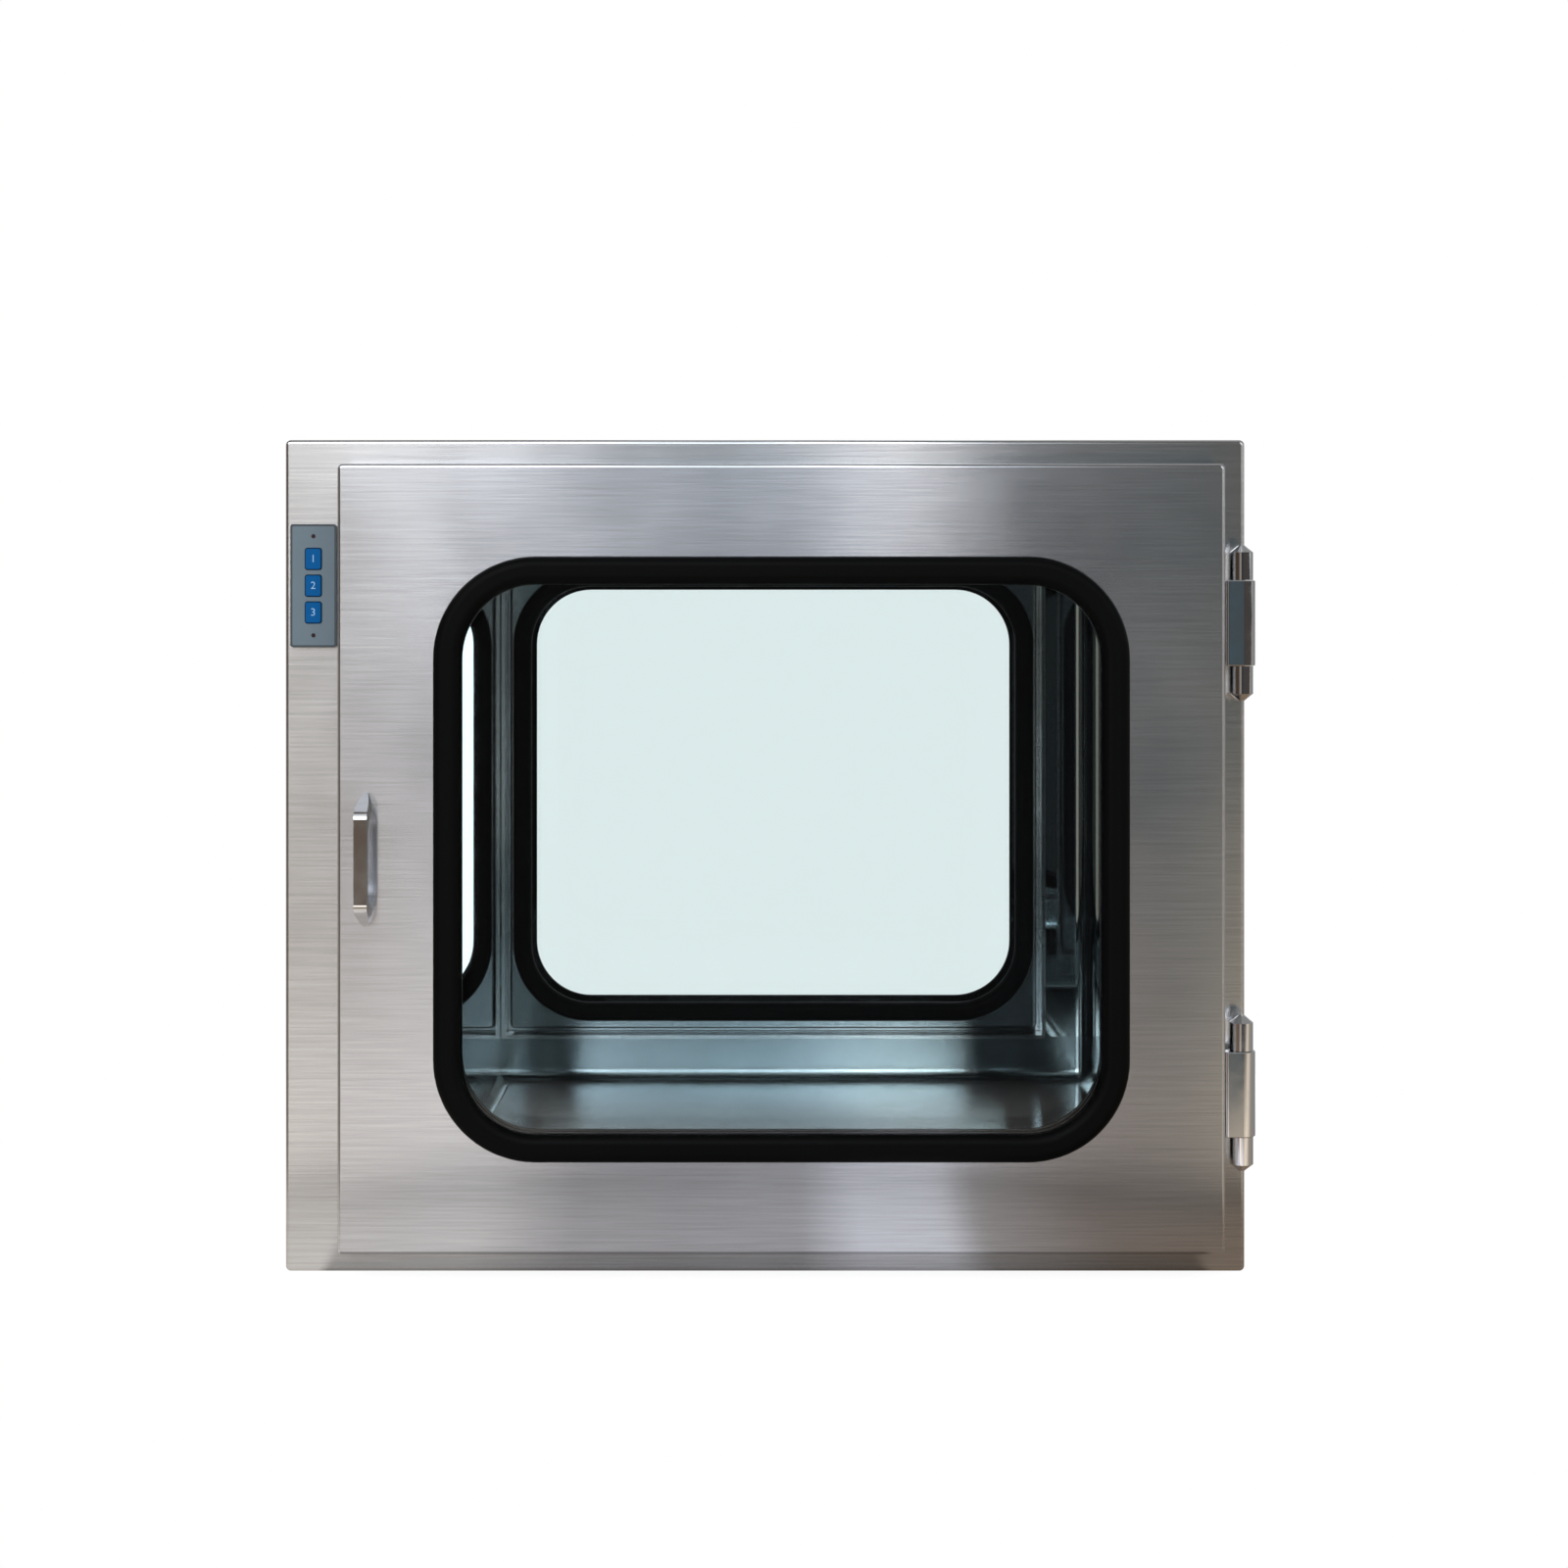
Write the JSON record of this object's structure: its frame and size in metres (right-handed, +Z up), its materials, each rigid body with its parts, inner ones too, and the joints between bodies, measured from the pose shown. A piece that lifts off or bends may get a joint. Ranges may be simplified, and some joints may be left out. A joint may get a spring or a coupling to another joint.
{
  "type": "cleanroom pass box",
  "caption": "Stainless steel transfer hatch: a coved through chamber closed at front and rear by glazed, gasketed swing doors with bow handles, knuckle hinges, magnet locks and key panels.",
  "frame": {"origin": "centre of the cabinet's base, on the surface that it stands on", "axes": "+Z up, -Y the front door's face, +Y the rear door's face, +X the hinge side of both doors"},
  "size_m": [0.7546, 0.764, 0.671],
  "materials": {
    "cabinet_steel": "brushed stainless, horizontal grain",
    "door_steel": "brushed stainless, horizontal grain",
    "chamber_steel": "smooth bright-annealed stainless",
    "polished_chrome": "polished",
    "gasket_rubber": "satin black",
    "window_glass": "clear toughened",
    "lamp_glass": "frosted",
    "panel_dark": "satin",
    "panel_grey": "satin membrane",
    "key_blue": "satin blue",
    "indicator_lens": "clear dark lens",
    "black_nylon": "moulded",
    "white_enamel": "gloss enamel",
    "white_plastic": "moulded",
    "circuit_board": "solder mask",
    "zinc_plate": "zinc plated",
    "magnet_alloy": "satin anodised"
  },
  "bodies": {
    "cabinet": {"top_panel": "cabinet_steel", "bottom_panel": "cabinet_steel", "left_side_panel": "cabinet_steel", "right_side_panel": "cabinet_steel", "service_cover": "cabinet_steel", "service_cover_screws": "polished_chrome", "cable_gland": "black_nylon", "front_frame": "cabinet_steel", "rear_frame": "cabinet_steel", "chamber_floor_pan": "chamber_steel", "chamber_left_wall": "chamber_steel", "chamber_right_wall": "chamber_steel", "chamber_ceiling": "chamber_steel", "floor_stiffeners": "cabinet_steel", "uv_lamp_tube": "lamp_glass", "light_tube": "lamp_glass", "lamp_battens": "white_enamel", "lamp_sockets": "white_plastic", "control_board": "circuit_board", "power_supply": "zinc_plate", "terminal_block": "white_plastic", "front_magnet_lock": "magnet_alloy", "rear_magnet_lock": "magnet_alloy", "front_hinge_frame_leaves": "polished_chrome", "rear_hinge_frame_leaves": "polished_chrome", "hinge_pins": "polished_chrome", "front_panel_housing": "panel_dark", "rear_panel_housing": "panel_dark", "front_panel_overlay": "panel_grey", "rear_panel_overlay": "panel_grey", "indicator_lamps": "indicator_lens", "switch_boards": "circuit_board"},
    "front_door": {"front_door_skin": "door_steel", "front_door_inner_pan": "door_steel", "front_door_seal": "gasket_rubber", "front_door_armature": "zinc_plate", "front_window_outer_gasket": "gasket_rubber", "front_window_inner_gasket": "gasket_rubber", "front_window_outer_pane": "window_glass", "front_window_inner_pane": "window_glass", "front_handle": "polished_chrome", "front_handle_screws": "polished_chrome", "front_hinge_door_leaves": "polished_chrome"},
    "rear_door": {"rear_door_skin": "door_steel", "rear_door_inner_pan": "door_steel", "rear_door_seal": "gasket_rubber", "rear_door_armature": "zinc_plate", "rear_window_outer_gasket": "gasket_rubber", "rear_window_inner_gasket": "gasket_rubber", "rear_window_outer_pane": "window_glass", "rear_window_inner_pane": "window_glass", "rear_handle": "polished_chrome", "rear_handle_screws": "polished_chrome", "rear_hinge_door_leaves": "polished_chrome"},
    "front_key_1_cap": {"front_key_1": "key_blue"},
    "front_key_2_cap": {"front_key_2": "key_blue"},
    "front_key_3_cap": {"front_key_3": "key_blue"},
    "rear_key_1_cap": {"rear_key_1": "key_blue"},
    "rear_key_2_cap": {"rear_key_2": "key_blue"},
    "rear_key_3_cap": {"rear_key_3": "key_blue"}
  },
  "joints": [
    {"name": "front_door_hinge", "type": "hinge", "parent": "cabinet", "child": "front_door", "pos_m": [0.369, -0.342, 0.325], "axis": [0, 0, 1], "range_deg": [0, 120]},
    {"name": "rear_door_hinge", "type": "hinge", "parent": "cabinet", "child": "rear_door", "pos_m": [0.369, 0.342, 0.325], "axis": [0, 0, -1], "range_deg": [0, 120]},
    {"name": "front_key_1_press", "type": "slide", "parent": "cabinet", "child": "front_key_1_cap", "axis": [0, 1, 0], "range_m": [0, 0.0008], "stiffness_N_per_m": 400},
    {"name": "front_key_2_press", "type": "slide", "parent": "cabinet", "child": "front_key_2_cap", "axis": [0, 1, 0], "range_m": [0, 0.0008], "stiffness_N_per_m": 400},
    {"name": "front_key_3_press", "type": "slide", "parent": "cabinet", "child": "front_key_3_cap", "axis": [0, 1, 0], "range_m": [0, 0.0008], "stiffness_N_per_m": 400},
    {"name": "rear_key_1_press", "type": "slide", "parent": "cabinet", "child": "rear_key_1_cap", "axis": [0, -1, 0], "range_m": [0, 0.0008], "stiffness_N_per_m": 400},
    {"name": "rear_key_2_press", "type": "slide", "parent": "cabinet", "child": "rear_key_2_cap", "axis": [0, -1, 0], "range_m": [0, 0.0008], "stiffness_N_per_m": 400},
    {"name": "rear_key_3_press", "type": "slide", "parent": "cabinet", "child": "rear_key_3_cap", "axis": [0, -1, 0], "range_m": [0, 0.0008], "stiffness_N_per_m": 400}
  ]
}
